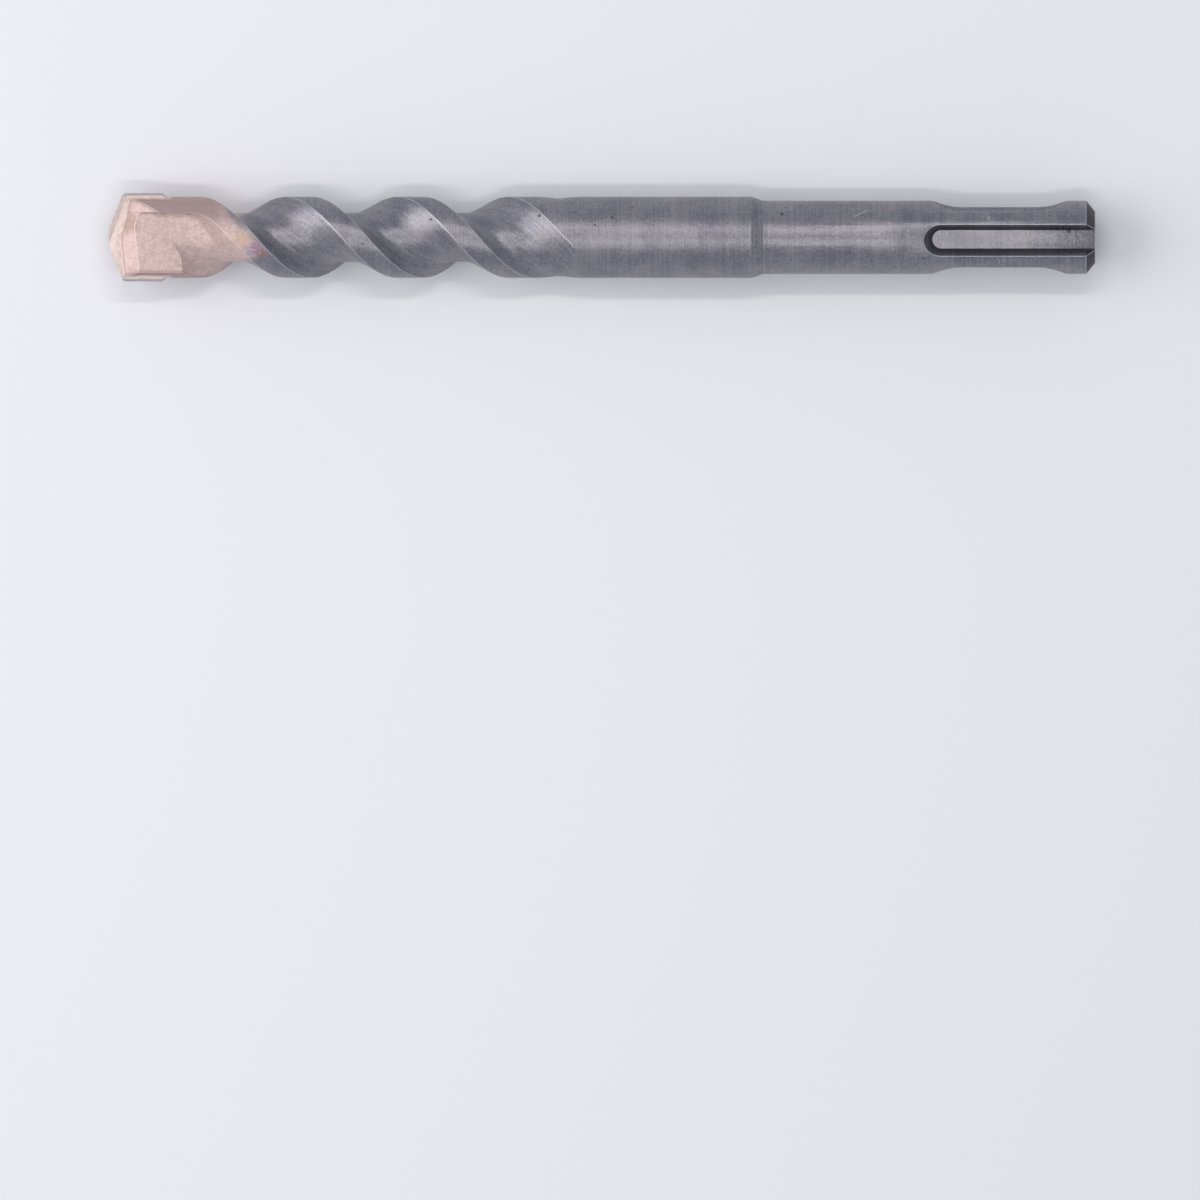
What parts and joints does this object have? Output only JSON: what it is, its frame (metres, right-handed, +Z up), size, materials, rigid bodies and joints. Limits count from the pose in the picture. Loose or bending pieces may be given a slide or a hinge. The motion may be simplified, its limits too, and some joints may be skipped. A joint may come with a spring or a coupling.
{
  "type": "masonry drill bit",
  "caption": "Hammer drill bit with a slotted and grooved shank, a plain cylinder, two helical flutes and a brazed carbide plate tip.",
  "frame": {"origin": "centre of the flat end face of the shank, where the hammer strikes", "axes": "+X along the bit from its tip to the end of its shank, +Z up with the bit lying on its side, its carbide plate flat, +Y across"},
  "size_m": [0.1346, 0.012, 0.011],
  "materials": {
    "tool_steel": "shot-blasted hardened steel, blue-grey, with faint turning marks and a copper blush on the head",
    "carbide": "sintered tungsten carbide, ground grey on its edges, pink braze wash on its faces",
    "copper_braze": "thin copper braze film, satin"
  },
  "bodies": {
    "root": {"steel_body": "tool_steel", "carbide_plate": "carbide", "braze_joint": "copper_braze"}
  },
  "joints": []
}
